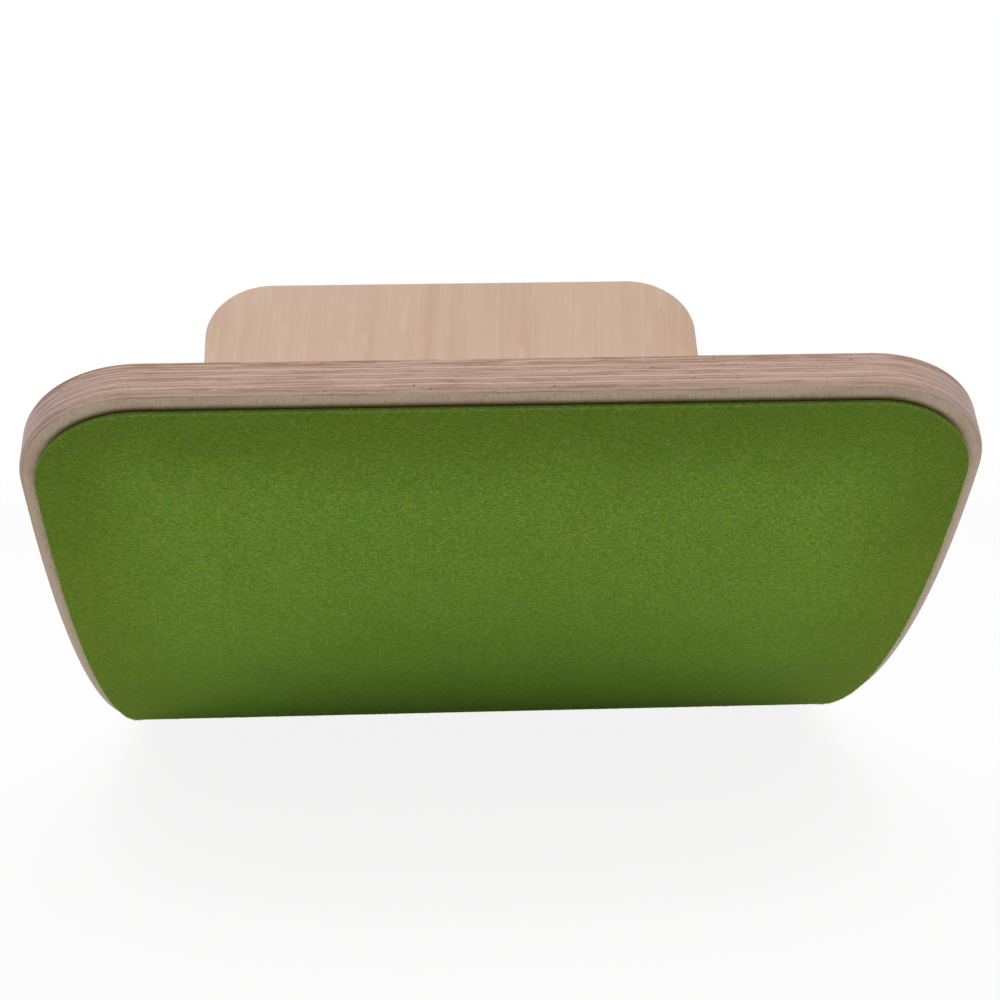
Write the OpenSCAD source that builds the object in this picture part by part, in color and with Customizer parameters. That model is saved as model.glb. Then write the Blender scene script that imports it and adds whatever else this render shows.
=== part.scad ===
// Curved balance board: bent beech plywood, built veneer by veneer, with a felt sole.
// X runs across the board, Y along it and Z up. The origin is where the sole meets the floor.
// Depths are measured from the wood's outer (lower) face towards the seat, so the felt's are negative.

/* [Board] */
// Width of the board across the bend
board_width = 300; // [240:5:420]
// Length of the outer face, measured along the curve from end to end
curve_length = 780; // [640:10:1000]
// Radius of the bend at the wood's outer face
bend_radius = 420; // [340:5:600]
// Radius of the four corners, seen square on
corner_radius = 40; // [20:1:60]
// Straight run at each end between the bend and the corner rounding
end_straight = 5; // [1:1:40]

/* [Veneers] */
// Thickness of a veneer with its grain along the board
long_veneer = 1.3; // [0.8:0.1:2.5]
// Thickness of a veneer with its grain across the board
cross_veneer = 0.9; // [0.5:0.1:2]

/* [Edges] */
// Radius of the rounded edge round the seat face
seat_rounding = 1; // [0.5:0.1:2]
// Radius of the rounded edge round the underside
sole_rounding = 3; // [1:0.5:5]

/* [Felt] */
// Thickness of the felt
felt_thickness = 2; // [1:0.5:5]
// Bare flat wood between the rounded edge and the felt
felt_margin = 2; // [1:0.5:15]
// Thickness of the adhesive film under the felt
film_thickness = 0.2; // [0.1:0.1:0.5]
// Distance that the film stops short of the felt's edge
film_setback = 1; // [0.5:0.5:5]

/* [Hidden] */
$fn = 180;

// The lay-up, from the underside to the seat: long grain and cross grain by turns
VENEERS = [
    "outer_face_veneer",
    "cross_veneer_1",
    "long_veneer_1",
    "cross_veneer_2",
    "long_veneer_2",
    "cross_veneer_3",
    "long_veneer_3",
    "cross_veneer_4",
    "long_veneer_4",
    "cross_veneer_5",
    "long_veneer_5",
    "cross_veneer_6",
    "inner_face_veneer"
];

long_grain_colour = [0.80, 0.68, 0.58];
cross_grain_colour = [0.86, 0.77, 0.68];
film_colour = [0.90, 0.88, 0.80];
felt_colour = [0.31, 0.41, 0.14];

// Depth at which veneer i starts, counted in pairs of one long and one cross veneer
function veneer_start(i) = floor(i / 2) * (long_veneer + cross_veneer) + (i % 2) * long_veneer;

board_thickness = veneer_start(len(VENEERS));
felt_inset = sole_rounding + felt_margin;
end_length = corner_radius + end_straight;
half_angle = (curve_length / 2 - end_length) / bend_radius * 180 / PI;
// Degrees that a swept half runs past the middle before it is cut there
overrun_angle = 2;
bend_centre_height = bend_radius + film_thickness + felt_thickness;

// Half of the bare board's section: x runs out to the edge, y is the depth
module board_half_section(reach) {
    square([reach - sole_rounding, board_thickness - seat_rounding]);
    translate([0, sole_rounding])
        square([reach, board_thickness - sole_rounding - seat_rounding]);
    translate([0, sole_rounding])
        square([reach - seat_rounding, board_thickness - sole_rounding]);
    translate([reach - sole_rounding, sole_rounding])
        circle(sole_rounding);
    translate([reach - seat_rounding, board_thickness - seat_rounding])
        circle(seat_rounding);
}

// Half of the plain band between two depths, out to a square-cut edge
module band(reach, from, to) {
    translate([0, from])
        square([reach, to - from]);
}

// Half of one layer's section: wood takes the board's rounded edges, felt and film are cut square
module layer_half_section(reach, from, to, is_wood) {
    if (is_wood)
        intersection() {
            band(reach, from, to);
            board_half_section(reach);
        }
    else
        band(reach, from, to);
}

module layer_section(half_width, from, to, is_wood) {
    layer_half_section(half_width, from, to, is_wood);
    mirror([1, 0])
        layer_half_section(half_width, from, to, is_wood);
}

// Half of a layer's bent run, swept from the straight end back past the middle of the board
module bent_half(from, to, inset, is_wood) {
    mirror([0, 1, 0])
        rotate([0, 90, 0])
            rotate_extrude(angle = half_angle + overrun_angle)
                translate([bend_radius, 0])
                    rotate(90)
                        layer_section(board_width / 2 - inset, from, to, is_wood);
}

// One straight end of a layer, laid flat: y runs from the bend to the tip, z is the depth
module flat_end(from, to, inset, is_wood) {
    half_width = board_width / 2 - inset;
    corner = corner_radius - inset;
    reach = end_length - inset;
    translate([0, end_straight, 0])
        rotate([90, 0, 0])
            linear_extrude(height = end_straight)
                layer_section(half_width, from, to, is_wood);
    rotate([90, 0, 90])
        linear_extrude(height = 2 * (half_width - corner), center = true)
            layer_half_section(reach, from, to, is_wood);
    for (side = [0, 1])
        mirror([side, 0, 0])
            translate([half_width - corner, end_straight, 0])
                rotate_extrude(angle = 90)
                    layer_half_section(corner, from, to, is_wood);
}

// Half of a layer about the bend's axis: the straight end carries on at the bend's tangent
module half_layer(from, to, inset, is_wood) {
    intersection() {
        rotate([half_angle, 0, 0]) {
            bent_half(from, to, inset, is_wood);
            translate([0, 0, -bend_radius])
                flat_end(from, to, inset, is_wood);
        }
        translate([-board_width, 0, -curve_length - bend_radius])
            cube([2 * board_width, curve_length + bend_radius, curve_length + bend_radius]);
    }
}

module layer(from, to, inset = 0, is_wood = false) {
    translate([0, 0, bend_centre_height])
        for (end = [0, 1])
            mirror([0, end, 0])
                half_layer(from, to, inset, is_wood);
}

module veneer(i) {
    color(i % 2 == 0 ? long_grain_colour : cross_grain_colour)
        layer(veneer_start(i), veneer_start(i + 1), is_wood = true);
}

module felt_adhesive() {
    color(film_colour)
        layer(-film_thickness, 0, felt_inset + film_setback);
}

module felt_sole() {
    color(felt_colour)
        layer(-film_thickness - felt_thickness, -film_thickness, felt_inset);
}

for (i = [0 : len(VENEERS) - 1])
    veneer(i);
felt_adhesive();
felt_sole();
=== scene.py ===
# %% [markdown]
# # A curvy balance board
# The real board is thirteen thin beech veneers, glued and pressed in a curved mould, with a sheet of green
# felt glued under it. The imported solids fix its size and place. This lesson dresses them: it cuts each
# veneer flat, presses it to the curve, grows beech grain through the whole stack, lays the felt and lights
# the scene.

# %% Load the frame
import math

import bmesh
import bpy
from mathutils import Matrix, Vector


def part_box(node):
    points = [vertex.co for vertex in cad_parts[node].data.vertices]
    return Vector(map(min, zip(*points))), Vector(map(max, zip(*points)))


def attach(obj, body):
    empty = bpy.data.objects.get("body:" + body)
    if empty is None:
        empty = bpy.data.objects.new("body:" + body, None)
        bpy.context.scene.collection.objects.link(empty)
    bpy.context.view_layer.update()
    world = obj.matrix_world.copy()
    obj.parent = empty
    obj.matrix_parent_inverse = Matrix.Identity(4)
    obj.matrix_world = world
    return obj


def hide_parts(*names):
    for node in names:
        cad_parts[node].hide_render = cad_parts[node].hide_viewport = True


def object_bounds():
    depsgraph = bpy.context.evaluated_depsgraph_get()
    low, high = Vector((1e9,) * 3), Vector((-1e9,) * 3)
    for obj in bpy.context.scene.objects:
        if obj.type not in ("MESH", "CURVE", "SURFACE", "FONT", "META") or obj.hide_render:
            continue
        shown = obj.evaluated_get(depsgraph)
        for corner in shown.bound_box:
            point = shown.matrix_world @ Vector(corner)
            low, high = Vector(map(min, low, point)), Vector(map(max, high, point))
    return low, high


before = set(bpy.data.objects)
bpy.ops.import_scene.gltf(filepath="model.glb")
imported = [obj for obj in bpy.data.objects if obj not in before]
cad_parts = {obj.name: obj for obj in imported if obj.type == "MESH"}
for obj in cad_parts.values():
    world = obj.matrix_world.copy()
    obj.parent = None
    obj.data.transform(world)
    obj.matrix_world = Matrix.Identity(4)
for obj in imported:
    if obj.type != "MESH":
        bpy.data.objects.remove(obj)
cad_low, cad_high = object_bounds()
print("solids span", [round(high - low, 4) for low, high in zip(cad_low, cad_high)], "m")

# %% [markdown]
# ## The camera
# The photograph looks at one end of the board from just above its rim, so the green underside fills the view
# and the far end shows as a slice of seat. The camera comes first, because everything else is judged in it.
# It could be placed by eye, but here its place, turn and lens come from a fit to the board's outline.

# %% Set up the camera
CAMERA_PLACE = Vector((-0.0328, -0.9285, 0.2218))
CAMERA_TURN = math.radians(2.858)
CAMERA_TILT = math.radians(-8.165)
CAMERA_ROLL = math.radians(-0.627)
CAMERA_LENS = 72.05
SENSOR_WIDTH = 36
NEAREST_SEEN = 0.01


def make_camera():
    data = bpy.data.cameras.new("camera")
    data.sensor_width = SENSOR_WIDTH
    data.lens = CAMERA_LENS
    data.clip_start = NEAREST_SEEN
    camera = bpy.data.objects.new("camera", data)
    bpy.context.scene.collection.objects.link(camera)
    heading = Matrix.Rotation(-CAMERA_TURN, 4, "Z")
    pitch = Matrix.Rotation(math.pi / 2 + CAMERA_TILT, 4, "X")
    roll = Matrix.Rotation(CAMERA_ROLL, 4, "Z")
    camera.matrix_world = Matrix.Translation(CAMERA_PLACE) @ heading @ pitch @ roll
    bpy.context.scene.camera = camera
    return camera


camera = make_camera()
near_foot = Vector((0, cad_low.y, 0))
print("camera is", round((camera.location - near_foot).length, 3), "m from the near end's foot")

# %% [markdown]
# ## The blanks
# A veneer starts as a flat rectangle with round corners. It could be modelled already bent, but a flat blank
# is simpler to mesh and keeps a record of where each point lay on the sheet, which the grain needs later.
# So a blank is a grid of rows across the sheet, in flat coordinates: across, along, and the depth, which
# counts from the wood's lower face up to the seat.

# %% Sizes of the board
BEND_RADIUS = 0.420
CURVE_LENGTH = 0.780
CORNER_RADIUS = 0.040
END_STRAIGHT = 0.005
LONG_VENEER = 0.0013
CROSS_VENEER = 0.0009
SEAT_ROUNDING = 0.001
SOLE_ROUNDING = 0.003
FELT_MARGIN = 0.002
FELT_THICKNESS = 0.002
FILM_THICKNESS = 0.0002
FELT_INSET = SOLE_ROUNDING + FELT_MARGIN

VENEER_NODES = ["outer_face_veneer"]
for number in range(1, 6):
    VENEER_NODES += [f"cross_veneer_{number}", f"long_veneer_{number}"]
VENEER_NODES += ["cross_veneer_6", "inner_face_veneer"]

LAYER_PITCH = LONG_VENEER + CROSS_VENEER
BOARD_THICKNESS = len(VENEER_NODES) // 2 * LAYER_PITCH + LONG_VENEER
core_low, core_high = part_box("long_veneer_3")
BOARD_WIDTH = core_high.x - core_low.x
print(len(VENEER_NODES), "veneers,", round(BOARD_THICKNESS * 1000, 2), "mm thick")
print("board is", round(BOARD_WIDTH, 4), "m wide")

# %% Rows and rim of a blank
ROW_SPACING = 0.004
CORNER_STEPS = 30
COLUMNS = 12


def outline_rows(inset):
    """Rows across the blank from the near end to the far end, as pairs of place along and half width."""
    corner = CORNER_RADIUS - inset
    corner_place = CURVE_LENGTH / 2 - CORNER_RADIUS
    corner_middle = BOARD_WIDTH / 2 - CORNER_RADIUS
    far = []
    for step in range(CORNER_STEPS + 1):
        turn = math.pi / 2 * step / CORNER_STEPS
        far.append((corner_place + corner * math.cos(turn), corner_middle + corner * math.sin(turn)))
    near = [(-along, half) for along, half in far]
    spaces = round(2 * corner_place / ROW_SPACING)
    middle = []
    for step in range(1, spaces):
        middle.append((corner_place * (2 * step / spaces - 1), BOARD_WIDTH / 2 - inset))
    return near + middle + far[::-1]


def ring_places(row_count):
    """The grid places round the blank's rim, counter-clockwise seen from the seat side."""
    near = [(0, column) for column in range(COLUMNS + 1)]
    right = [(row, COLUMNS) for row in range(1, row_count)]
    far = [(row_count - 1, column) for column in range(COLUMNS - 1, -1, -1)]
    left = [(row, 0) for row in range(row_count - 2, 0, -1)]
    return near + right + far + left


ROW_COUNT = len(outline_rows(0))
print("a blank has", ROW_COUNT, "rows and", len(ring_places(ROW_COUNT)), "points round its rim")

# %% Cut a flat blank
SHARP_ANGLE = math.radians(30)


def mark_edges(mesh):
    """Smooth faces, with a crisp line where two faces meet at a clear angle."""
    work = bmesh.new()
    work.from_mesh(mesh)
    for face in work.faces:
        face.smooth = True
    for edge in work.edges:
        edge.smooth = edge.calc_face_angle(0) < SHARP_ANGLE
    work.to_mesh(mesh)
    work.free()


def cut_blank(name, levels):
    """A closed flat sheet; levels are pairs of inset and depth up its edge, underside first."""
    points = []
    faces = []
    ring = ring_places(ROW_COUNT)

    def place(rows, row, column, depth):
        along, half = rows[row]
        return (half * (2 * column / COLUMNS - 1), along, depth)

    def add_cap(inset, depth):
        rows = outline_rows(inset)
        first = len(points)
        for row in range(ROW_COUNT):
            points.extend(place(rows, row, column, depth) for column in range(COLUMNS + 1))
        return lambda row, column: first + row * (COLUMNS + 1) + column

    under = add_cap(*levels[0])
    upper = add_cap(*levels[-1])
    for row in range(ROW_COUNT - 1):
        for column in range(COLUMNS):
            square = [(row, column), (row, column + 1), (row + 1, column + 1), (row + 1, column)]
            faces.append([upper(*corner) for corner in square])
            faces.append([under(*corner) for corner in reversed(square)])
    loops = [[under(*spot) for spot in ring]]
    for inset, depth in levels[1:-1]:
        rows = outline_rows(inset)
        first = len(points)
        points.extend(place(rows, row, column, depth) for row, column in ring)
        loops.append(list(range(first, first + len(ring))))
    loops.append([upper(*spot) for spot in ring])
    for low, high in zip(loops, loops[1:]):
        for here in range(len(ring)):
            there = (here + 1) % len(ring)
            faces.append([low[here], low[there], high[there], high[here]])
    mesh = bpy.data.meshes.new(name)
    mesh.from_pydata(points, [], faces)
    mark_edges(mesh)
    return mesh


# %% [markdown]
# ## The press
# Pressing is one rule for every layer: the middle of the sheet wraps round a cylinder and the two ends run on
# straight. A Simple Deform modifier can bend a sheet too, but a Geometry Nodes tree also stores the flat
# place and the flat facing of every face before it bends them, so the grain can be drawn in the sheet's own
# coordinates, as it grew in the log.

# %% Helpers for node trees
def add_node(tree, kind, **settings):
    node = tree.nodes.new(kind)
    for name, value in settings.items():
        setattr(node, name, value)
    return node


def feed(tree, socket, value):
    """Link an output into a socket, or write a plain value on it."""
    if isinstance(value, bpy.types.NodeSocket):
        tree.links.new(value, socket)
    else:
        socket.default_value = value


def math_of(tree, operation, *values):
    node = add_node(tree, "ShaderNodeMath", operation=operation)
    for socket, value in zip(node.inputs, values):
        feed(tree, socket, value)
    return node.outputs[0]


def split_of(tree, vector):
    node = add_node(tree, "ShaderNodeSeparateXYZ")
    feed(tree, node.inputs[0], vector)
    return node.outputs


def join_of(tree, *parts):
    node = add_node(tree, "ShaderNodeCombineXYZ")
    for socket, value in zip(node.inputs, parts):
        feed(tree, socket, value)
    return node.outputs[0]


# %% Helpers for Geometry Nodes
def new_tree(name, inputs, output):
    """An empty tree with named inputs, its input sockets, and each input's identifier by name."""
    tree = bpy.data.node_groups.new(name, "GeometryNodeTree")
    identifiers = {}
    for label, kind in inputs:
        socket = tree.interface.new_socket(label, in_out="INPUT", socket_type="NodeSocket" + kind)
        identifiers[label] = socket.identifier
    tree.interface.new_socket(output, in_out="OUTPUT", socket_type="NodeSocketGeometry")
    return tree, add_node(tree, "NodeGroupInput").outputs, identifiers


def store_on(tree, shape, name, kind, domain, value):
    """Keep a value on the shape as a named attribute."""
    node = add_node(tree, "GeometryNodeStoreNamedAttribute", data_type=kind, domain=domain)
    feed(tree, node.inputs["Geometry"], shape)
    node.inputs["Name"].default_value = name
    feed(tree, node.inputs["Value"], value)
    return node.outputs["Geometry"]


def end_tree(tree, shape, material):
    """Realize what a tree made, give it its material and hand it out."""
    realize = add_node(tree, "GeometryNodeRealizeInstances")
    feed(tree, realize.inputs[0], shape)
    finish = add_node(tree, "GeometryNodeSetMaterial")
    feed(tree, finish.inputs["Geometry"], realize.outputs[0])
    feed(tree, finish.inputs["Material"], material)
    feed(tree, add_node(tree, "NodeGroupOutput").inputs[0], finish.outputs[0])


# %% Build the press
PRESS_INPUTS = (
    ("Blank", "Geometry"),
    ("Bend Radius", "Float"),
    ("Bend Reach", "Float"),
    ("Centre Height", "Float"),
    ("Finish", "Material"),
)


def build_press():
    tree, given, identifiers = new_tree("press_to_curve", PRESS_INPUTS, "Pressed")
    place = add_node(tree, "GeometryNodeInputPosition").outputs[0]
    facing = add_node(tree, "GeometryNodeInputNormal").outputs[0]
    shape = store_on(tree, given["Blank"], "flat", "FLOAT_VECTOR", "POINT", place)
    shape = store_on(tree, shape, "flat_facing", "FLOAT_VECTOR", "FACE", facing)
    across, along, depth = split_of(tree, place)
    reach = given["Bend Reach"]
    back = math_of(tree, "MULTIPLY", reach, -1.0)
    bent = math_of(tree, "MAXIMUM", math_of(tree, "MINIMUM", along, reach), back)
    straight = math_of(tree, "SUBTRACT", along, bent)
    turn = math_of(tree, "DIVIDE", bent, given["Bend Radius"])
    sine = math_of(tree, "SINE", turn)
    cosine = math_of(tree, "COSINE", turn)
    radius = math_of(tree, "SUBTRACT", given["Bend Radius"], depth)
    forward = math_of(tree, "MULTIPLY_ADD", straight, cosine, math_of(tree, "MULTIPLY", radius, sine))
    rise = math_of(tree, "MULTIPLY", straight, sine)
    drop = math_of(tree, "SUBTRACT", math_of(tree, "MULTIPLY", radius, cosine), rise)
    height = math_of(tree, "SUBTRACT", given["Centre Height"], drop)
    move = add_node(tree, "GeometryNodeSetPosition")
    feed(tree, move.inputs["Geometry"], shape)
    feed(tree, move.inputs["Position"], join_of(tree, across, forward, height))
    end_tree(tree, move.outputs[0], given["Finish"])
    return tree, identifiers


press, press_sockets = build_press()
print("press tree has", len(press.nodes), "nodes")

# %% Run a mesh through a tree
def run_tree(name, mesh, tree, sockets, settings):
    """A plain object made by one pass of a Geometry Nodes tree over a mesh."""
    source = bpy.data.objects.new(name + "_source", mesh)
    bpy.context.scene.collection.objects.link(source)
    modifier = source.modifiers.new("tree", "NODES")
    modifier.node_group = tree
    for setting, value in settings.items():
        modifier[sockets[setting]] = value
    bpy.context.view_layer.update()
    graph = bpy.context.evaluated_depsgraph_get()
    made = bpy.data.meshes.new_from_object(source.evaluated_get(graph), depsgraph=graph)
    source.modifiers.remove(modifier)
    bpy.data.objects.remove(source)
    made.name = name
    piece = bpy.data.objects.new(name, made)
    bpy.context.scene.collection.objects.link(piece)
    return piece


def press_blank(name, levels, finish):
    settings = {
        "Bend Radius": BEND_RADIUS,
        "Bend Reach": CURVE_LENGTH / 2 - CORNER_RADIUS - END_STRAIGHT,
        "Centre Height": BEND_RADIUS + FILM_THICKNESS + FELT_THICKNESS,
        "Finish": finish,
    }
    return run_tree(name, cut_blank(name, levels), press, press_sockets, settings)


# %% [markdown]
# ## The beech
# Plywood is a stack of sheets whose grain runs along and across by turns. On the board's end the long sheets
# show dark end grain and the cross sheets show pale lines, and on its sides the two swap. Each sheet could
# have a material of its own, but one can do it all: it reads the flat place, finds which sheet a point is in,
# and darkens whatever faces along its grain. The noises below have sizes in metres. A mask's three numbers
# are where it starts, where it is full and the most that it mixes in, and a pair gives only the first two.

# %% Helpers for materials
def paint(red, green, blue):
    """A colour written as screen values, made linear for the shader."""
    linear = []
    for value in (red, green, blue):
        share = value / 255
        linear.append(share / 12.92 if share <= 0.04045 else ((share + 0.055) / 1.055) ** 2.4)
    return (*linear, 1)


def new_material(name):
    material = bpy.data.materials.new(name)
    material.use_nodes = True
    shader = material.node_tree.nodes["Principled BSDF"]
    return material, material.node_tree, shader


def read_attribute(tree, name):
    return add_node(tree, "ShaderNodeAttribute", attribute_name=name).outputs["Vector"]


def scaled(tree, vector, factors):
    node = add_node(tree, "ShaderNodeVectorMath", operation="MULTIPLY")
    feed(tree, node.inputs[0], vector)
    node.inputs[1].default_value = factors
    return node.outputs[0]


def noise_of(tree, vector, sizes, detail, rough=0.5):
    """Noise whose blobs measure about the given sizes along the vector's three axes."""
    node = add_node(tree, "ShaderNodeTexNoise")
    feed(tree, node.inputs["Vector"], scaled(tree, vector, [1 / size for size in sizes]))
    node.inputs["Scale"].default_value = 1
    node.inputs["Detail"].default_value = detail
    node.inputs["Roughness"].default_value = rough
    return node.outputs[0]


# %% Helpers for masks and mixes
def ramp_of(tree, value, low, high):
    """A smooth step from 0 at low to 1 at high."""
    node = add_node(tree, "ShaderNodeMapRange", interpolation_type="SMOOTHSTEP")
    feed(tree, node.inputs["Value"], value)
    node.inputs["From Min"].default_value = low
    node.inputs["From Max"].default_value = high
    return node.outputs[0]


def size_ramp(tree, value, low, high):
    """A smooth step on a value's size, whatever its sign."""
    return ramp_of(tree, math_of(tree, "ABSOLUTE", value), low, high)


def mask_of(tree, value, mask):
    """A smooth step that ends at less than the whole."""
    low, high, most = mask
    return math_of(tree, "MULTIPLY", ramp_of(tree, value, low, high), most)


def both_of(tree, first, second):
    """Where two masks overlap."""
    return math_of(tree, "MULTIPLY", first, second)


def mix_of(tree, share, first, second, blend="MIX"):
    node = add_node(tree, "ShaderNodeMix", data_type="RGBA", blend_type=blend)
    feed(tree, node.inputs[0], share)
    feed(tree, node.inputs[6], first)
    feed(tree, node.inputs[7], second)
    return node.outputs[2]


def add_bump(tree, shader, height, distance, strength):
    node = add_node(tree, "ShaderNodeBump")
    node.inputs["Distance"].default_value = distance
    node.inputs["Strength"].default_value = strength
    feed(tree, node.inputs["Height"], height)
    feed(tree, shader.inputs["Normal"], node.outputs[0])


# %% Draw a sheet's face
BEECH_FACE = paint(214, 183, 159)
BEECH_STREAK = paint(204, 170, 144)
BEECH_PALE = paint(224, 198, 177)
BEECH_FLECK = paint(140, 104, 80)
STREAK_SIZE = (0.014, 0.3, 0.0006)
STREAK_MASK = (0.42, 0.68, 0.8)
LINE_SIZE = (0.0022, 0.12, 0.0003)
LINE_MASK = (0.45, 0.8, 0.4)
SMUDGE_SIZE = (0.007, 0.03, 0.001)
SMUDGE_MASK = (0.54, 0.76, 0.5)
FLECK_SIZE = (0.0003, 0.003, 0.005)
FLECK_MASK = (0.56, 0.76, 0.38)
# Where the seat side turns darker towards the board's right side.
DARK_SIDE_START = 0.07
DARK_SIDE_FULL = 0.13


def along_grain(is_long, size):
    """A blob's size turned to a sheet's grain: across it, along it and through its thickness."""
    across, along, depth = size
    return (across, along, depth) if is_long else (along, across, depth)


def face_colour(tree, flat, is_long):
    """A sheet seen along its grain: streaks, darker towards the board's right side, pale lines and smudges,
    dark flecks.
    """
    across, _, depth = split_of(tree, flat)
    seat_side = ramp_of(tree, depth, 0, BOARD_THICKNESS)
    under_side = ramp_of(tree, depth, BOARD_THICKNESS, 0)
    # Darker towards the board's right side, on the seat side of the stack.
    darker_side = both_of(tree, ramp_of(tree, across, DARK_SIDE_START, DARK_SIDE_FULL), seat_side)
    streaks = noise_of(tree, flat, along_grain(is_long, STREAK_SIZE), detail=2)
    lines = noise_of(tree, flat, along_grain(is_long, LINE_SIZE), detail=3)
    smudges = noise_of(tree, flat, along_grain(is_long, SMUDGE_SIZE), detail=3)
    flecks = noise_of(tree, flat, along_grain(is_long, FLECK_SIZE), detail=0)
    colour = mix_of(tree, mask_of(tree, streaks, STREAK_MASK), BEECH_FACE, BEECH_STREAK)
    colour = mix_of(tree, darker_side, colour, BEECH_STREAK)
    colour = mix_of(tree, mask_of(tree, lines, LINE_MASK), colour, BEECH_PALE)
    colour = mix_of(tree, mask_of(tree, smudges, SMUDGE_MASK), colour, BEECH_PALE)
    return mix_of(tree, both_of(tree, mask_of(tree, flecks, FLECK_MASK), under_side), colour, BEECH_FLECK)


# %% Draw a sheet's end grain
BEECH_END = paint(192, 157, 140)
BEECH_END_DARK = paint(142, 97, 72)
BEECH_BROWN = paint(148, 102, 72)
RING_SIZE = (0.02, 0.02, 0.0007)
DARK_RING_MASK = (0.5, 0.68, 0.75)
PALE_RING_MASK = (0.45, 0.28, 0.4)
PATCH_SIZE = (0.014, 0.014, 0.0011)
PATCH_MASK = (0.53, 0.64, 0.75)
PORE_SIZE = (0.0006, 0.0006, 0.0003)
PORE_MASK = (0.5, 0.75, 0.55)


def end_colour(tree, flat):
    """A sheet seen end on: grey pink, with rings and brown patches that follow the sheet, and pores."""
    rings = noise_of(tree, flat, RING_SIZE, detail=3, rough=0.6)
    patches = noise_of(tree, flat, PATCH_SIZE, detail=3)
    pores = noise_of(tree, flat, PORE_SIZE, detail=1)
    colour = mix_of(tree, mask_of(tree, rings, DARK_RING_MASK), BEECH_END, BEECH_END_DARK)
    colour = mix_of(tree, mask_of(tree, patches, PATCH_MASK), colour, BEECH_BROWN)
    colour = mix_of(tree, mask_of(tree, rings, PALE_RING_MASK), colour, BEECH_FACE)
    return mix_of(tree, mask_of(tree, pores, PORE_MASK), colour, BEECH_END_DARK)


# %% Turn face into end grain
LONG_END_FACING = (0.3, 0.75)
CROSS_END_FACING = (0.85, 0.99)
UPRIGHT_FACING = (0.69, 0.2)


def sheet_colour(tree, flat, facing, end_tone, is_long):
    """A sheet's face tone, turning to the end tone where its edge faces along its grain."""
    side_facing, end_facing, up_facing = split_of(tree, facing)
    upright = size_ramp(tree, up_facing, *UPRIGHT_FACING)
    if is_long:
        grain_end = size_ramp(tree, end_facing, *LONG_END_FACING)
    else:
        grain_end = size_ramp(tree, side_facing, *CROSS_END_FACING)
    return mix_of(tree, both_of(tree, grain_end, upright), face_colour(tree, flat, is_long), end_tone)


# %% Find the sheet that a point is in
WANDER_SIZE = (0.009, 0.009, 0.004)
JOINT_WANDER = 0.0007
SANDED_DEPTH = 0.0012
SANDED_OFF = 0.0004


def lay_up(tree, flat):
    """Distance from the middle of the nearest long sheet, with wandering joints and a sanded outer sheet."""
    wander = math_of(tree, "SUBTRACT", noise_of(tree, flat, WANDER_SIZE, detail=2), 0.5)
    shift = math_of(tree, "MULTIPLY", wander, JOINT_WANDER)
    depth = math_of(tree, "ADD", split_of(tree, flat)[2], shift)
    sanded = mask_of(tree, depth, (SOLE_ROUNDING, SANDED_DEPTH, SANDED_OFF))
    depth = math_of(tree, "ADD", depth, sanded)
    top_middle = BOARD_THICKNESS - LONG_VENEER / 2
    depth = math_of(tree, "MAXIMUM", math_of(tree, "MINIMUM", depth, top_middle), LONG_VENEER / 2)
    return math_of(tree, "PINGPONG", math_of(tree, "SUBTRACT", depth, LONG_VENEER / 2), LAYER_PITCH / 2)


# %% [markdown]
# ### Edges, stains and painted shade
# A sanded edge isn't as clean as a face. It is greyer, and cooler towards the sides. Brown stains sit under
# the seat, glue shows in some joints, and small gaps are left open. The bare strip beside the felt is
# darkened by painted shade at the two ends, partly glue stain, by brown blots that are partly painted shade,
# and by a line of painted shade in the groove. All of this is mixed over the sheets.

# %% Age the sanded edge
BEECH_SIDE = paint(194, 171, 163)
BEECH_VOID = paint(62, 44, 34)
SIDE_TINT = (0.98, 1.05, 1.16, 1)
EDGE_FACING = (0.75, 0.35)
SIDE_FACING = (0.15, 0.7)
EDGE_GREY = 0.22
STAIN_SIZE = (0.016, 0.016, 0.0012)
STAIN_MASK = (0.42, 0.64, 0.8)
STAIN_START = BOARD_THICKNESS - 0.0034
STAIN_FULL = BOARD_THICKNESS - 0.0018
GLUE_MASK = (0.00026, 0.00006, 0.5)
GLUE_FADE = (0.6, 0.4)
GAP_SIZE = (0.0022, 0.0022, 0.0004)
GAP_START = 0.8
GAP_FULL = 0.86


def edge_colour(tree, flat, facing, colour, from_middle, fade):
    """What a sanded edge adds: a greyer tone, a cooler side, stains under the seat, glue lines and gaps."""
    side_facing, _, up_facing = split_of(tree, facing)
    on_edge = size_ramp(tree, up_facing, *EDGE_FACING)
    colour = mix_of(tree, math_of(tree, "MULTIPLY", on_edge, EDGE_GREY), colour, BEECH_SIDE)
    on_side = both_of(tree, on_edge, size_ramp(tree, side_facing, *SIDE_FACING))
    colour = mix_of(tree, on_side, colour, SIDE_TINT, "MULTIPLY")
    stain = mask_of(tree, noise_of(tree, flat, STAIN_SIZE, detail=3), STAIN_MASK)
    near_seat = ramp_of(tree, split_of(tree, flat)[2], STAIN_START, STAIN_FULL)
    stained = both_of(tree, near_seat, stain)
    colour = mix_of(tree, both_of(tree, on_edge, stained), colour, BEECH_BROWN)
    off_joint = math_of(tree, "ABSOLUTE", math_of(tree, "SUBTRACT", from_middle, LONG_VENEER / 2))
    glue = both_of(tree, mask_of(tree, off_joint, GLUE_MASK), ramp_of(tree, fade, *GLUE_FADE))
    colour = mix_of(tree, glue, colour, BEECH_END_DARK)
    gaps = ramp_of(tree, noise_of(tree, flat, GAP_SIZE, detail=0), GAP_START, GAP_FULL)
    return mix_of(tree, both_of(tree, on_edge, gaps), colour, BEECH_VOID)


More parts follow.
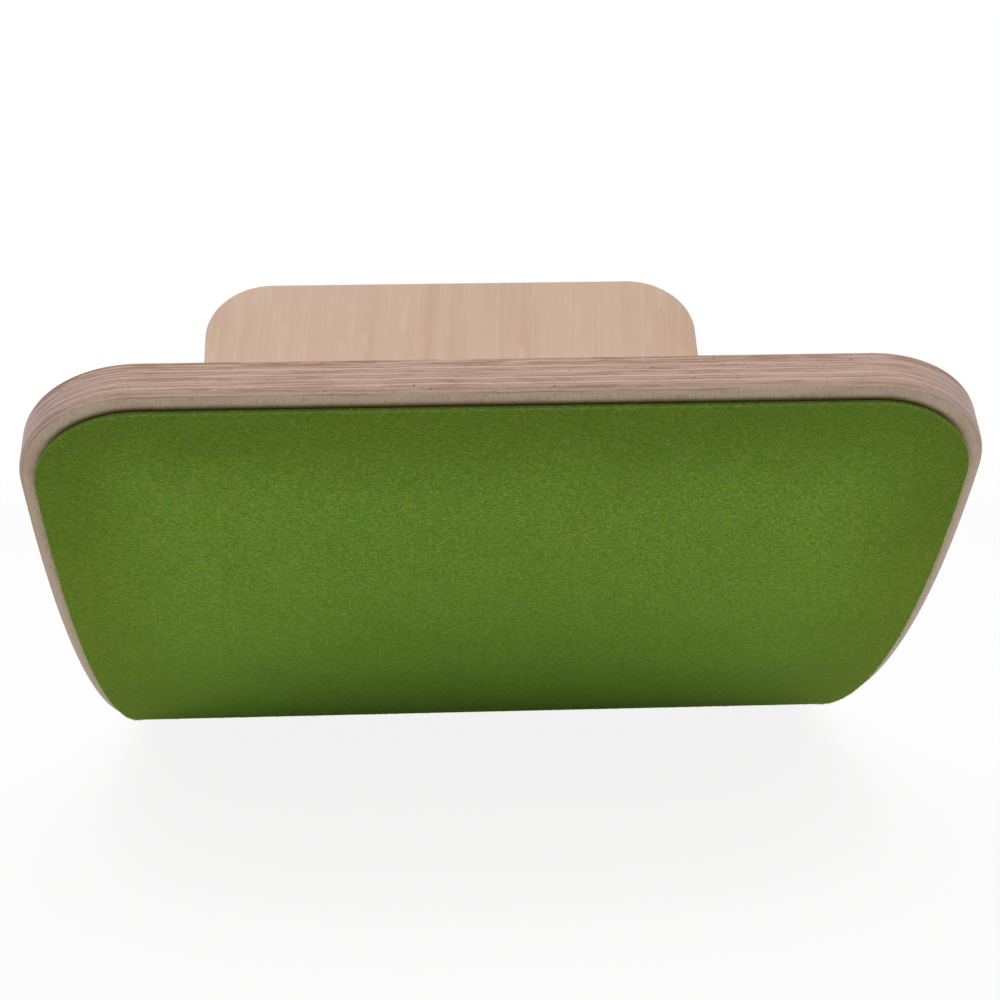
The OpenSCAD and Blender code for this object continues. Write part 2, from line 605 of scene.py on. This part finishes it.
# %% Measure in from the outline
def inset_of(tree, flat):
    """How far inside the board's outline a point lies: the distance rule of a round-cornered rectangle."""
    across, along, _ = split_of(tree, flat)
    corner_across = BOARD_WIDTH / 2 - CORNER_RADIUS
    corner_along = CURVE_LENGTH / 2 - CORNER_RADIUS
    past_side = math_of(tree, "SUBTRACT", math_of(tree, "ABSOLUTE", across), corner_across)
    past_end = math_of(tree, "SUBTRACT", math_of(tree, "ABSOLUTE", along), corner_along)
    reach = add_node(tree, "ShaderNodeVectorMath", operation="LENGTH")
    outside = [math_of(tree, "MAXIMUM", past, 0.0) for past in (past_side, past_end)]
    feed(tree, reach.inputs[0], join_of(tree, *outside))
    inner = math_of(tree, "MINIMUM", math_of(tree, "MAXIMUM", past_side, past_end), 0.0)
    outward = math_of(tree, "ADD", reach.outputs["Value"], inner)
    return math_of(tree, "SUBTRACT", CORNER_RADIUS, outward)


# %% Paint shade and stains on the strip beside the felt
STRIP_TINT = (0.94, 1.02, 1.04, 1)
# Painted shade beside the felt at the two ends, olive from the felt's green light, partly glue stain.
END_SHADE_AND_GLUE_TINT = (0.42, 0.45, 0.17, 1)
STRIP_DEPTHS = (0.0016, 0.0006)
END_SHADE_PLACES = (CURVE_LENGTH / 2 - 0.024, CURVE_LENGTH / 2 - 0.012)
END_SHADE_INSETS = (FELT_INSET - 0.0018, FELT_INSET + 0.0002)
BLOT_SIZE = (0.005, 0.005, 0.005)
# Brown blots deepening towards the felt: partly stain, partly painted shade.
BROWN_STAIN_AND_SHADE_MASK = (FELT_INSET - 0.0025, FELT_INSET, 0.3)
BROWN_STAIN_AND_SHADE_BLOTS = (0.4, 0.65)
# Painted shade: a dark blotted line in the groove against the felt.
GROOVE_SHADE_MASK = (FELT_INSET - 0.0004, FELT_INSET, 0.15)
GROOVE_SHADE_BLOTS = (0.25, 0.65)


def strip_colour(tree, flat, colour):
    """Painted shade beside the felt, deepest at the two ends and partly glue stain, brown blots that are
    partly painted shade, and painted shade in the groove.
    """
    _, along, depth = split_of(tree, flat)
    on_strip = ramp_of(tree, depth, *STRIP_DEPTHS)
    inset = inset_of(tree, flat)
    at_end = both_of(tree, on_strip, size_ramp(tree, along, *END_SHADE_PLACES))
    end_shade_and_glue = both_of(tree, at_end, ramp_of(tree, inset, *END_SHADE_INSETS))
    colour = mix_of(tree, on_strip, colour, STRIP_TINT, "MULTIPLY")
    # Painted shade at the two ends beside the felt, with the felt's green light, partly glue stain.
    colour = mix_of(tree, end_shade_and_glue, colour, END_SHADE_AND_GLUE_TINT, "MULTIPLY")
    blot = noise_of(tree, flat, BLOT_SIZE, detail=3)
    # Brown blots deepening towards the felt: partly stain, partly painted shade.
    brown_stain_and_shade = both_of(tree, on_strip, mask_of(tree, inset, BROWN_STAIN_AND_SHADE_MASK))
    colour = mix_of(tree, both_of(tree, brown_stain_and_shade, ramp_of(tree, blot, *BROWN_STAIN_AND_SHADE_BLOTS)), colour, BEECH_BROWN)
    # Painted shade: a dark line in the groove against the felt.
    groove_shade = both_of(tree, on_strip, mask_of(tree, inset, GROOVE_SHADE_MASK))
    return mix_of(tree, both_of(tree, groove_shade, ramp_of(tree, blot, *GROOVE_SHADE_BLOTS)), colour, BEECH_VOID)


# %% Mix the beech
GRAIN_TURN = math.radians(4)
FADE_SIZE = (0.03, 0.03, 0.0012)
CROSS_FADE = (0.2, 0.5)
JOINT_BLUR = 0.0003
RELIEF_SIZE = (0.0004, 0.006, 0.0004)
RELIEF_DEPTH = 0.00005
RELIEF_STRENGTH = 0.4


def make_beech():
    material, tree, shader = new_material("beech_plywood")
    place = read_attribute(tree, "flat")
    facing = read_attribute(tree, "flat_facing")
    from_middle = lay_up(tree, place)
    skew = add_node(tree, "ShaderNodeVectorRotate", rotation_type="Z_AXIS")
    feed(tree, skew.inputs["Vector"], place)
    skew.inputs["Angle"].default_value = GRAIN_TURN
    flat = skew.outputs[0]
    fade = noise_of(tree, flat, FADE_SIZE, detail=2)
    past_joint = ramp_of(tree, from_middle, LONG_VENEER / 2, LONG_VENEER / 2 + JOINT_BLUR)
    is_cross = both_of(tree, past_joint, ramp_of(tree, fade, *CROSS_FADE))
    end_tone = end_colour(tree, flat)
    long_tone = sheet_colour(tree, flat, facing, end_tone, True)
    cross_tone = sheet_colour(tree, flat, facing, end_tone, False)
    colour = mix_of(tree, is_cross, long_tone, cross_tone)
    colour = edge_colour(tree, flat, facing, colour, from_middle, fade)
    feed(tree, shader.inputs["Base Color"], strip_colour(tree, place, colour))
    shader.inputs["Roughness"].default_value = 0.55
    shader.inputs["Specular IOR Level"].default_value = 0.35
    relief = noise_of(tree, flat, RELIEF_SIZE, detail=1)
    add_bump(tree, shader, relief, RELIEF_DEPTH, RELIEF_STRENGTH)
    return material


beech = make_beech()
print("beech has", len(beech.node_tree.nodes), "nodes")

# %% [markdown]
# ## The veneers
# The edge of the board is rounded across the whole stack, so a veneer's own edge is the stretch of that
# rounding that lies between its two depths. Working it out from one section keeps neighbours flush, where
# thirteen bevels made one by one would leave steps.

# %% Round the board's edge
EDGE_STEPS = 10
SMALLEST_STEP = 0.00002


def quarter_round(steps):
    """A quarter circle of unit radius, as pairs that run from (1, 0) to (0, 1)."""
    pairs = []
    for step in range(steps + 1):
        turn = math.pi / 2 * step / steps
        pairs.append((1 - math.sin(turn), 1 - math.cos(turn)))
    return pairs


def edge_section():
    """The board's edge from the underside to the seat, as pairs of inset and depth."""
    sole = []
    seat = []
    for falling, rising in quarter_round(EDGE_STEPS):
        sole.append((SOLE_ROUNDING * falling, SOLE_ROUNDING * rising))
        seat.append((SEAT_ROUNDING * rising, BOARD_THICKNESS - SEAT_ROUNDING * falling))
    return sole + seat


def edge_inset(depth):
    """How far the rounded edges draw the outline in at a depth."""
    for radius, rise in ((SOLE_ROUNDING, depth), (SEAT_ROUNDING, BOARD_THICKNESS - depth)):
        if rise < radius:
            return radius - math.sqrt(max(0, radius**2 - (radius - rise) ** 2))
    return 0


def veneer_levels(start, end):
    """The stretch of the board's edge that belongs to the layer between two depths."""
    low = start + SMALLEST_STEP
    high = end - SMALLEST_STEP
    inside = [(inset, depth) for inset, depth in edge_section() if low < depth < high]
    return [(edge_inset(start), start), *inside, (edge_inset(end), end)]


print("the board's edge has", len(edge_section()), "points from sole to seat")

# %% Press the veneers
def press_veneers():
    pieces = []
    top = 0
    for number, node in enumerate(VENEER_NODES):
        is_long = number % 2 == 0
        bottom = top
        top = bottom + (LONG_VENEER if is_long else CROSS_VENEER)
        piece = press_blank(node + "_wood", veneer_levels(bottom, top), beech)
        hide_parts(node)
        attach(piece, "root")
        pieces.append(piece)
    return pieces


veneers = press_veneers()
print("veneers have", sum(len(piece.data.polygons) for piece in veneers), "faces")

# %% [markdown]
# ## The felt
# Pressed wool felt is a mat of short fibres with no weave. The sheet is a blank like the veneers, glued to
# the outer face and cut a little short of the edge, with its cut edge worn soft and a dark groove left
# against the wood. An image could colour it, but thin strokes drawn in the material stay sharp at any size.
# So its colour comes from layers of strokes that cross at several angles and lie mostly across the board,
# dark to bright, under a painted shade that darkens the border, with a painted highlight on the rim.

# %% Draw the fibres
FIBRE_LAY = 1.6
FIBRE_BEND = 1.5
FIBRE_WIDTH = (0.14, 0.04)
FIBRE_ENDS = (0.6, 0.35)


def fibres_of(tree, flat, cell):
    """One short bent stroke in every cell of a random pattern, at a random angle: its mask and its tone."""
    place = scaled(tree, flat, (1 / (cell * FIBRE_LAY), 1 / cell, 1 / cell))
    cells = add_node(tree, "ShaderNodeTexVoronoi", voronoi_dimensions="2D")
    cells.inputs["Scale"].default_value = 1
    feed(tree, cells.inputs["Vector"], place)
    chance = add_node(tree, "ShaderNodeSeparateColor")
    feed(tree, chance.inputs[0], cells.outputs["Color"])
    local = add_node(tree, "ShaderNodeVectorMath", operation="SUBTRACT")
    feed(tree, local.inputs[0], place)
    feed(tree, local.inputs[1], cells.outputs["Position"])
    turn = add_node(tree, "ShaderNodeVectorRotate", rotation_type="Z_AXIS")
    feed(tree, turn.inputs["Vector"], local.outputs[0])
    feed(tree, turn.inputs["Angle"], math_of(tree, "MULTIPLY", chance.outputs[0], math.tau))
    length, width, _ = split_of(tree, turn.outputs[0])
    bend = math_of(tree, "MULTIPLY", math_of(tree, "SUBTRACT", chance.outputs[1], 0.5), FIBRE_BEND)
    bent = math_of(tree, "MULTIPLY_ADD", math_of(tree, "MULTIPLY", length, length), bend, width)
    stroke = both_of(tree, size_ramp(tree, bent, *FIBRE_WIDTH), size_ramp(tree, length, *FIBRE_ENDS))
    return stroke, chance.outputs[2]


# %% Dye the felt
FELT_GREEN = paint(80, 143, 53)
FELT_OLIVE = paint(132, 150, 30)
FELT_SHADE = paint(65, 97, 20)
FELT_BRIGHT = paint(176, 205, 97)
HUE_SIZE = (0.0006 * FIBRE_LAY, 0.0006, 0.0006)
HUE_START = 0.44
HUE_FULL = 0.56
CLOUD_SIZE = (0.03, 0.03, 0.03)
CLOUD_MASK = (0.4, 0.75, 0.18)
TUFT_SIZE = (0.0007 * FIBRE_LAY, 0.0007, 0.0007)
TUFT_MASK = (0.54, 0.36, 0.72)
FIBRE_CELLS = (0.0005, 0.0007, 0.0009, 0.0013)
BRIGHT_MASK = (0.4, 1.0, 0.48)
DARK_MASK = (0.5, 0.0, 0.6)
FIBRE_RELIEF = 0.4


def felt_mat(tree, flat):
    """The felt's colour and relief: two greens in clouds and tufts, with bright and dark fibres over them."""
    hue = noise_of(tree, flat, HUE_SIZE, detail=3, rough=0.6)
    cloud = noise_of(tree, flat, CLOUD_SIZE, detail=2)
    tuft = noise_of(tree, flat, TUFT_SIZE, detail=2)
    colour = mix_of(tree, ramp_of(tree, hue, HUE_START, HUE_FULL), FELT_GREEN, FELT_OLIVE)
    colour = mix_of(tree, mask_of(tree, cloud, CLOUD_MASK), colour, FELT_SHADE)
    colour = mix_of(tree, mask_of(tree, tuft, TUFT_MASK), colour, FELT_SHADE)
    height = tuft
    for cell in FIBRE_CELLS:
        stroke, tone = fibres_of(tree, flat, cell)
        bright = both_of(tree, stroke, mask_of(tree, tone, BRIGHT_MASK))
        dark = both_of(tree, stroke, mask_of(tree, tone, DARK_MASK))
        colour = mix_of(tree, bright, colour, FELT_BRIGHT)
        colour = mix_of(tree, dark, colour, FELT_SHADE)
        height = math_of(tree, "MULTIPLY_ADD", stroke, FIBRE_RELIEF, height)
    return colour, height


# %% Paint shade and highlight on the felt
# Painted shade: tints that darken the felt towards its border, yellower along the sides than at the ends.
END_BORDER_SHADE_TINT = (0.58, 0.54, 0.30, 1)
SIDE_BORDER_SHADE_TINT = (0.74, 0.61, 0.25, 1)
BORDER_SHADE_INSETS = (FELT_INSET + 0.050, FELT_INSET)
END_BORDER_SHADE_PLACES = (0.30, 0.36)
# The cut edge's darker colour: partly darker fibres, partly painted shade.
FELT_CUT_AND_SHADE = paint(70, 96, 36)
# Painted shade in the groove where the felt meets the wood.
FELT_GROOVE_SHADE = paint(36, 50, 18)
# Painted highlight along the felt's rim.
RIM_HIGHLIGHT_MASK = (-0.999, -0.9, 0.22)
CUT_AND_SHADE_MASK = (-0.7, -0.1, 0.9)
GROOVE_SHADE_FACING = (-0.25, 0.45)


def felt_painted_light_and_cut(tree, flat, colour):
    """Painted light on the felt: painted shade on the border, yellower at the sides, a painted highlight on
    the rim, a cut edge darker partly by painted shade, and painted shade in the groove.
    """
    # Painted shade: the felt darker towards its border, yellower along the sides.
    towards_end = size_ramp(tree, split_of(tree, flat)[1], *END_BORDER_SHADE_PLACES)
    border_shade_tint = mix_of(tree, towards_end, SIDE_BORDER_SHADE_TINT, END_BORDER_SHADE_TINT)
    border_shade = ramp_of(tree, inset_of(tree, flat), *BORDER_SHADE_INSETS)
    colour = mix_of(tree, border_shade, colour, border_shade_tint, "MULTIPLY")
    up_facing = split_of(tree, read_attribute(tree, "flat_facing"))[2]
    # Painted highlight along the felt's rim.
    colour = mix_of(tree, mask_of(tree, up_facing, RIM_HIGHLIGHT_MASK), colour, FELT_BRIGHT)
    # The cut edge darker: partly its own colour, partly painted shade.
    colour = mix_of(tree, mask_of(tree, up_facing, CUT_AND_SHADE_MASK), colour, FELT_CUT_AND_SHADE)
    # Painted shade in the groove against the wood.
    return mix_of(tree, ramp_of(tree, up_facing, *GROOVE_SHADE_FACING), colour, FELT_GROOVE_SHADE)


# %% Mix the felt
FELT_SHEEN = paint(180, 225, 95)
FELT_RELIEF_DEPTH = 0.0002
FELT_RELIEF_STRENGTH = 0.5


def make_felt():
    material, tree, shader = new_material("green_felt")
    flat = read_attribute(tree, "flat")
    colour, height = felt_mat(tree, flat)
    feed(tree, shader.inputs["Base Color"], felt_painted_light_and_cut(tree, flat, colour))
    shader.inputs["Roughness"].default_value = 0.95
    shader.inputs["Specular IOR Level"].default_value = 0.1
    shader.inputs["Sheen Weight"].default_value = 0.4
    shader.inputs["Sheen Roughness"].default_value = 0.9
    shader.inputs["Sheen Tint"].default_value = FELT_SHEEN
    add_bump(tree, shader, height, FELT_RELIEF_DEPTH, FELT_RELIEF_STRENGTH)
    return material


felt_finish = make_felt()
print("felt has", len(felt_finish.node_tree.nodes), "nodes")

# %% Lay the felt
FELT_FACE_ROUNDING = 0.0005
FELT_GLUE_ROUNDING = 0.0009
CUT_STEPS = 5


def felt_levels():
    """The felt's cut edge, worn round on both sides, so that a dark groove is left against the wood."""
    glue = -FILM_THICKNESS
    face = glue - FELT_THICKNESS
    face_side = []
    glue_side = []
    for falling, rising in quarter_round(CUT_STEPS):
        face_side.append((FELT_INSET + FELT_FACE_ROUNDING * falling, face + FELT_FACE_ROUNDING * rising))
        glue_side.append((FELT_INSET + FELT_GLUE_ROUNDING * rising, glue - FELT_GLUE_ROUNDING * falling))
    return face_side + glue_side


felt = press_blank("felt_sheet", felt_levels(), felt_finish)
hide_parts("felt_sole")
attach(felt, "root")
print("felt sheet has", len(felt.data.polygons), "faces")

# %% [markdown]
# ## The fuzz
# Loose fibre ends stand off any felt, most of all along a cut edge. Hair particles could draw them, but they
# are not kept as mesh, so a second tree scatters one bent sliver over the pressed sheet instead: a few on the
# face, a dense fringe on the cut edge, and none where the sole presses on the floor.

# %% Bend one fibre
ARC_START = (-0.5, 0, -0.02)
ARC_MIDDLE = (0.1, 0.25, 0.12)
ARC_END = (0.5, 0.05, 0.03)
ARC_STEPS = 3
FIBRE_SIDES = 3


def sliver_of(tree, length, radius):
    """A fibre of unit length, as thick as the real one will be once it is scaled."""
    arc = add_node(tree, "GeometryNodeCurveQuadraticBezier")
    arc.inputs["Resolution"].default_value = ARC_STEPS
    for name, point in (("Start", ARC_START), ("Middle", ARC_MIDDLE), ("End", ARC_END)):
        arc.inputs[name].default_value = point
    ring = add_node(tree, "GeometryNodeCurvePrimitiveCircle")
    ring.inputs["Resolution"].default_value = FIBRE_SIDES
    feed(tree, ring.inputs["Radius"], math_of(tree, "DIVIDE", radius, length))
    sliver = add_node(tree, "GeometryNodeCurveToMesh")
    feed(tree, sliver.inputs["Curve"], arc.outputs[0])
    feed(tree, sliver.inputs["Profile Curve"], ring.outputs[0])
    sliver.inputs["Fill Caps"].default_value = True
    return sliver.outputs[0]


# %% Choose where fibres grow
FACE_FACING = -0.99
CUT_FACING_MIDDLE = -0.5
CUT_FACING_REACH = 0.48


def fibre_density(tree, given):
    """Fibres per square metre: few on the face, many on the worn edge, none beside the floor."""
    facing = add_node(tree, "GeometryNodeInputNamedAttribute", data_type="FLOAT_VECTOR")
    facing.inputs["Name"].default_value = "flat_facing"
    up_facing = split_of(tree, facing.outputs["Attribute"])[2]
    height = split_of(tree, add_node(tree, "GeometryNodeInputPosition").outputs[0])[2]
    on_face = math_of(tree, "LESS_THAN", up_facing, FACE_FACING)
    off_edge = math_of(tree, "ABSOLUTE", math_of(tree, "SUBTRACT", up_facing, CUT_FACING_MIDDLE))
    on_edge = math_of(tree, "LESS_THAN", off_edge, CUT_FACING_REACH)
    density = math_of(tree, "MULTIPLY", on_face, given["Face Density"])
    density = math_of(tree, "MULTIPLY_ADD", on_edge, given["Edge Density"], density)
    off_floor = math_of(tree, "GREATER_THAN", height, given["Floor Gap"])
    return math_of(tree, "MULTIPLY", density, off_floor)


# %% Build the fuzz
FUZZ_INPUTS = (
    ("Felt", "Geometry"),
    ("Face Density", "Float"),
    ("Edge Density", "Float"),
    ("Fibre Length", "Float"),
    ("Fibre Radius", "Float"),
    ("Floor Gap", "Float"),
    ("Seed", "Int"),
    ("Finish", "Material"),
)
FIBRE_LEAN = 0.2
SHORTEST_FIBRE = 0.5
LONGEST_FIBRE = 1.3


def chance_of(tree, kind, seed):
    node = add_node(tree, "FunctionNodeRandomValue", data_type=kind)
    feed(tree, node.inputs["Seed"], seed)
    return node


def build_fuzz():
    tree, given, identifiers = new_tree("felt_fuzz", FUZZ_INPUTS, "Fuzz")
    seed = given["Seed"]
    scatter = add_node(tree, "GeometryNodeDistributePointsOnFaces")
    feed(tree, scatter.inputs["Mesh"], given["Felt"])
    feed(tree, scatter.inputs["Density"], fibre_density(tree, given))
    feed(tree, scatter.inputs["Seed"], seed)
    spin = chance_of(tree, "FLOAT_VECTOR", seed)
    spin.inputs["Min"].default_value = (-FIBRE_LEAN, -FIBRE_LEAN, -math.pi)
    spin.inputs["Max"].default_value = (FIBRE_LEAN, FIBRE_LEAN, math.pi)
    turn = add_node(tree, "FunctionNodeRotateRotation", rotation_space="LOCAL")
    feed(tree, turn.inputs["Rotation"], scatter.outputs["Rotation"])
    feed(tree, turn.inputs["Rotate By"], spin.outputs["Value"])
    size = chance_of(tree, "FLOAT", seed)
    size.inputs[2].default_value = SHORTEST_FIBRE
    size.inputs[3].default_value = LONGEST_FIBRE
    length = math_of(tree, "MULTIPLY", size.outputs[1], given["Fibre Length"])
    copies = add_node(tree, "GeometryNodeInstanceOnPoints")
    feed(tree, copies.inputs["Points"], scatter.outputs["Points"])
    feed(tree, copies.inputs["Instance"], sliver_of(tree, given["Fibre Length"], given["Fibre Radius"]))
    feed(tree, copies.inputs["Rotation"], turn.outputs[0])
    feed(tree, copies.inputs["Scale"], length)
    tone = chance_of(tree, "FLOAT", seed).outputs[1]
    fuzz = store_on(tree, copies.outputs[0], "fibre_tone", "FLOAT", "INSTANCE", tone)
    end_tree(tree, fuzz, given["Finish"])
    return tree, identifiers


fuzz_tree, fuzz_sockets = build_fuzz()
print("fuzz tree has", len(fuzz_tree.nodes), "nodes")

# %% Scatter the fuzz
def make_fibre_finish():
    material, tree, shader = new_material("felt_fibre")
    tone = add_node(tree, "ShaderNodeAttribute", attribute_name="fibre_tone").outputs["Fac"]
    feed(tree, shader.inputs["Base Color"], mix_of(tree, tone, FELT_GREEN, FELT_BRIGHT))
    shader.inputs["Roughness"].default_value = 0.8
    shader.inputs["Specular IOR Level"].default_value = 0.1
    return material


fuzz_settings = {
    "Face Density": 16000.0,
    "Edge Density": 3400000.0,
    "Fibre Length": 0.0016,
    "Fibre Radius": 0.00004,
    "Floor Gap": 0.0018,
    "Seed": 7,
    "Finish": make_fibre_finish(),
}
fuzz = run_tree("felt_fuzz", felt.data.copy(), fuzz_tree, fuzz_sockets, fuzz_settings)
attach(fuzz, "root")
print("fuzz has", len(fuzz.data.polygons), "faces")

# %% [markdown]
# ## The glue film
# The film between the felt and the wood is a thin cream layer that nobody sees. Its solid is already right,
# so it keeps its mesh and only gets a finish, with the slow smears of a rolled-on glue.

# %% Finish the glue film
FILM_DARK = paint(214, 206, 180)
FILM_PALE = paint(233, 228, 208)
SMEAR_SIZE = (0.02, 0.02, 0.02)


def make_film():
    material, tree, shader = new_material("adhesive_film")
    place = add_node(tree, "ShaderNodeTexCoord").outputs["Object"]
    smear = noise_of(tree, place, SMEAR_SIZE, detail=3)
    feed(tree, shader.inputs["Base Color"], mix_of(tree, smear, FILM_DARK, FILM_PALE))
    shader.inputs["Roughness"].default_value = 0.6
    return material


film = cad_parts["felt_adhesive"]
film.data.materials.clear()
film.data.materials.append(make_film())
print("film wears", film.data.materials[0].name)

# %% [markdown]
# ## Floor and light
# The photograph is cut out on white. Lighting a floor until it is white would flood the board, so this one
# glows white only to the camera and in reflections, and the small share that doesn't glow keeps the board's
# soft shadow. Away from the board its own colour falls to grey, so that less light bounces up under the ends,
# while the camera still sees white. The light is a dim white room with one very wide lamp overhead.

# %% Lay the floor
FLOOR_SIZE = 60
FLOOR_NEAR = 0.35
FLOOR_FAR = 1.0
FLOOR_GLOW = 0.88
FLOOR_WHITE = paint(246, 246, 246)
FLOOR_GREY = paint(170, 170, 170)
WHITE = (1, 1, 1, 1)


def background_rays(tree):
    """1 for the rays that show the background: straight to the camera, or off gloss, or through glass."""
    path = add_node(tree, "ShaderNodeLightPath").outputs
    shiny = math_of(tree, "MAXIMUM", path["Is Glossy Ray"], path["Is Transmission Ray"])
    return math_of(tree, "MAXIMUM", path["Is Camera Ray"], shiny)


def make_floor_finish():
    material, tree, shader = new_material("white_floor")
    shader.inputs["Roughness"].default_value = 1
    shader.inputs["Specular IOR Level"].default_value = 0
    away = add_node(tree, "ShaderNodeVectorMath", operation="LENGTH")
    feed(tree, away.inputs[0], add_node(tree, "ShaderNodeTexCoord").outputs["Object"])
    spread = ramp_of(tree, away.outputs["Value"], FLOOR_NEAR, FLOOR_FAR)
    feed(tree, shader.inputs["Base Color"], mix_of(tree, spread, FLOOR_WHITE, FLOOR_GREY))
    glow = add_node(tree, "ShaderNodeEmission")
    glow.inputs["Color"].default_value = WHITE
    glow_share = math_of(tree, "MULTIPLY_ADD", spread, 1 - FLOOR_GLOW, FLOOR_GLOW)
    mix = add_node(tree, "ShaderNodeMixShader")
    feed(tree, mix.inputs[0], both_of(tree, background_rays(tree), glow_share))
    feed(tree, mix.inputs[1], shader.outputs[0])
    feed(tree, mix.inputs[2], glow.outputs[0])
    feed(tree, tree.nodes["Material Output"].inputs["Surface"], mix.outputs[0])
    return material


def make_floor():
    mesh = bpy.data.meshes.new("floor")
    half = FLOOR_SIZE / 2
    corners = [(-half, -half, 0), (half, -half, 0), (half, half, 0), (-half, half, 0)]
    mesh.from_pydata(corners, [], [(0, 1, 2, 3)])
    mesh.materials.append(make_floor_finish())
    floor = bpy.data.objects.new("floor", mesh)
    bpy.context.scene.collection.objects.link(floor)
    return floor


floor = make_floor()
print("floor is", FLOOR_SIZE, "m wide")

# %% Light the room
ROOM_LIGHT = 0.15
LAMP_STRENGTH = 2.5
LAMP_SPREAD = math.radians(90)
LAMP_LEAN = math.radians(5)
LAMP_HEIGHT = 2


def light_room():
    world = bpy.data.worlds.new("white_room")
    world.use_nodes = True
    bpy.context.scene.world = world
    tree = world.node_tree
    tree.nodes.clear()
    mix = add_node(tree, "ShaderNodeMixShader")
    feed(tree, mix.inputs[0], background_rays(tree))
    for socket, strength in ((mix.inputs[1], ROOM_LIGHT), (mix.inputs[2], 1)):
        background = add_node(tree, "ShaderNodeBackground")
        background.inputs["Color"].default_value = WHITE
        background.inputs["Strength"].default_value = strength
        feed(tree, socket, background.outputs[0])
    feed(tree, add_node(tree, "ShaderNodeOutputWorld").inputs["Surface"], mix.outputs[0])


def hang_lamp():
    """A wide soft lamp overhead that leans a little towards the camera."""
    data = bpy.data.lights.new("overhead_lamp", "SUN")
    data.energy = LAMP_STRENGTH
    data.angle = LAMP_SPREAD
    lamp = bpy.data.objects.new("overhead_lamp", data)
    bpy.context.scene.collection.objects.link(lamp)
    lamp.location = (0, 0, LAMP_HEIGHT)
    lamp.rotation_euler = (LAMP_LEAN, 0, 0)
    return lamp


light_room()
lamp = hang_lamp()
bpy.context.scene.view_settings.view_transform = "Standard"
print("lamp spreads", round(math.degrees(lamp.data.angle)), "degrees")
